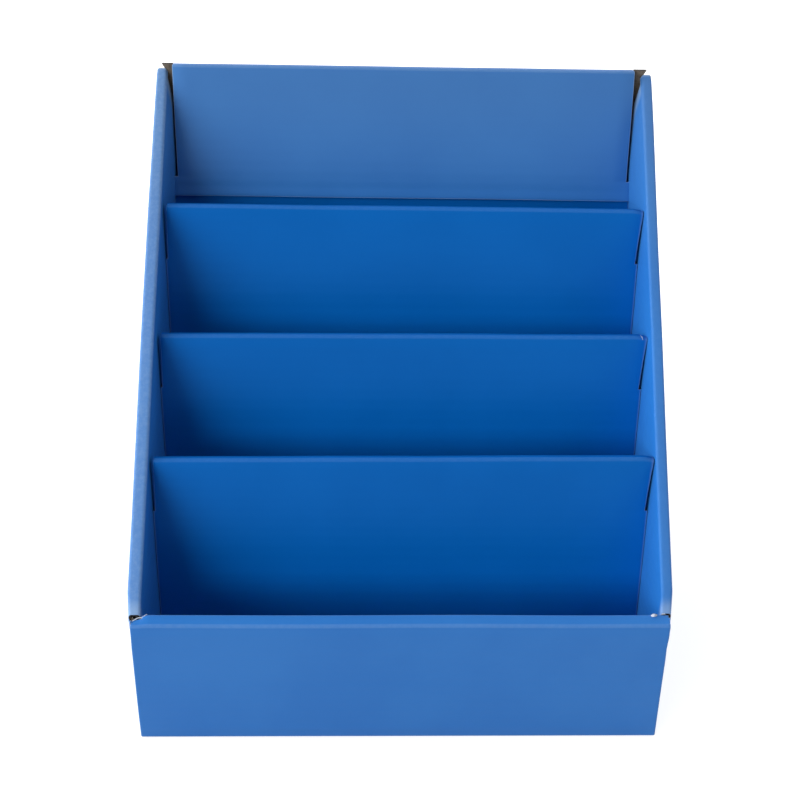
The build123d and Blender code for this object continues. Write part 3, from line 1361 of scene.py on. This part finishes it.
def lay_flutes(name, runs, tree):
    """The wavy layer that shows along a sheet's fluted edges, as one mesh."""
    points, edges, across, inward = [], [], [], []
    for run in runs:
        edges += [(len(points) + k, len(points) + k + 1) for k in range(len(run) - 1)]
        for rim, far_rim, floor, _ in run:
            reach = (far_rim - rim) / 2
            half_paper = reach.normalized() * flute_paper * MM / 2
            points.append(rim + reach - half_paper + (floor - rim) * paper_inset)
            across.extend(reach - half_paper)
            inward.extend((floor - rim).normalized())
    lines = bpy.data.meshes.new(name)
    lines.from_pydata(points, edges, [])
    for title, values in (("across", across), ("inward", inward)):
        lines.attributes.new(title, "FLOAT_VECTOR", "POINT").data.foreach_set("vector", values)
    holder = bpy.data.objects.new(name, lines)
    bpy.context.scene.collection.objects.link(holder)
    modifier = holder.modifiers.new("flutes", "NODES")
    modifier.node_group = tree
    sizes = {
        "Pitch": flute_pitch * MM,
        "Step": flute_step * MM,
        "Depth": (channel_depth - 2 * crushed_edge) * MM,
        "Paper": flute_paper * MM,
        "Weld": weld * MM,
    }
    for socket in tree.interface.items_tree:
        if socket.name in sizes:
            modifier[socket.identifier] = sizes[socket.name]
    bpy.context.view_layer.update()
    evaluated = holder.evaluated_get(bpy.context.evaluated_depsgraph_get())
    mesh = bpy.data.meshes.new_from_object(evaluated)
    holder.modifiers.remove(modifier)
    holder.data = mesh
    mesh.name = name
    clean_up(mesh)
    return holder


flute_wave = flute_tree(flute_kraft)
tray_flutes = lay_flutes("tray_flutes", tray_channels, flute_wave)
insert_flutes = lay_flutes("insert_flutes", insert_channels, flute_wave)
for piece, slot in ((tray_flutes, "tray_board"), (insert_flutes, "insert_board")):
    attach(piece, "root")


# Floor, light, camera


def make_floor():
    """A white floor. Where it is seen it glows, fully some way off, so that it shows as
    plain white, and less near the stand, so that the shadow stays faintly visible."""
    mesh = bpy.data.meshes.new("floor")
    reach = 6.0
    mesh.from_pydata(
        [(-reach, -reach, 0), (reach, -reach, 0), (reach, reach, 0), (-reach, reach, 0)],
        [],
        [(0, 1, 2, 3)],
    )
    finish = Finish("floor_white")
    away = finish.node("ShaderNodeVectorMath", {"operation": "LENGTH"}, i0=finish.place)["Value"]
    glow = finish.math("MULTIPLY_ADD", finish.ramp(away, 0.3, 1.2), 0.31, 0.69)
    white = finish.made(
        tone(196, 196, 196),
        0.9,
        Specular_IOR_Level=0.0,
        Emission_Color=(1, 1, 1, 1),
        Emission_Strength=finish.math("MULTIPLY", finish.seen(), glow),
    )
    mesh.materials.append(white)
    floor = bpy.data.objects.new("floor", mesh)
    bpy.context.scene.collection.objects.link(floor)


def make_world(level):
    """Even white surroundings, plain white where the camera sees them."""
    world = bpy.data.worlds.new("studio")
    bpy.context.scene.world = world
    world.use_nodes = True
    nodes = Nodes(world.node_tree)
    strength = nodes.node("ShaderNodeMapRange", Value=nodes.seen(), To_Min=level, To_Max=1.0)[0]
    sky = nodes.node("ShaderNodeBackground", Color=(1, 1, 1, 1), Strength=strength)[0]
    nodes.node("ShaderNodeOutputWorld", Surface=sky)


def make_lamp(name, place, aim, width, height, power):
    """A softbox at a place in metres, turned to its aim. Satin print doesn't mirror it."""
    lamp = bpy.data.lights.new(name, "AREA")
    lamp.shape = "RECTANGLE"
    lamp.size = width
    lamp.size_y = height
    lamp.energy = power
    holder = bpy.data.objects.new(name, lamp)
    holder.visible_camera = False
    holder.visible_glossy = False
    holder.location = place
    holder.rotation_euler = (Vector(aim) - Vector(place)).to_track_quat("-Z", "Y").to_euler()
    bpy.context.scene.collection.objects.link(holder)


def make_camera(place, pitch, yaw, roll, lens):
    """The photograph's camera: down by the pitch, to the right by the yaw, then rolled."""
    camera = bpy.data.objects.new("camera", bpy.data.cameras.new("camera"))
    pitch, yaw, roll = (math.radians(a) for a in (pitch, yaw, roll))
    ahead = Vector(
        (math.sin(yaw) * math.cos(pitch), math.cos(yaw) * math.cos(pitch), -math.sin(pitch))
    )
    level = Vector((math.cos(yaw), -math.sin(yaw), 0))
    up = level.cross(ahead)
    right = level * math.cos(roll) + up * math.sin(roll)
    up = right.cross(ahead)
    turn = Matrix((right, up, -ahead)).transposed()
    camera.matrix_world = Matrix.Translation(Vector(place) * MM) @ turn.to_4x4()
    camera.data.lens = lens
    camera.data.sensor_width = 36.0
    camera.data.clip_start = 0.02
    bpy.context.scene.collection.objects.link(camera)
    bpy.context.scene.camera = camera


make_floor()
make_world(level=0.2)
make_lamp("key", (-3.8, -1.54, 1.72), (0, 0, 0.15), width=8.4, height=2.0, power=350)
make_lamp("side", (-1.4, 0.3, 0.8), (0.1, 0, 0.2), width=0.8, height=0.8, power=8)
make_lamp("back_left", (-0.7, 1.3, 0.75), (0.1, 0, 0.25), width=1.2, height=0.8, power=8)
make_lamp("back_right", (0.9, 0.8, 1.0), (-0.1, 0, 0.2), width=1.0, height=1.0, power=10)
make_lamp("fill", (1.5, -0.5, 1.3), (0, 0, 0.15), width=1.2, height=1.0, power=6)
make_camera((-10.66, -610.78, 512.77), pitch=29.871, yaw=0.914, roll=0.939, lens=53.126)
bpy.context.scene.view_settings.view_transform = "Standard"
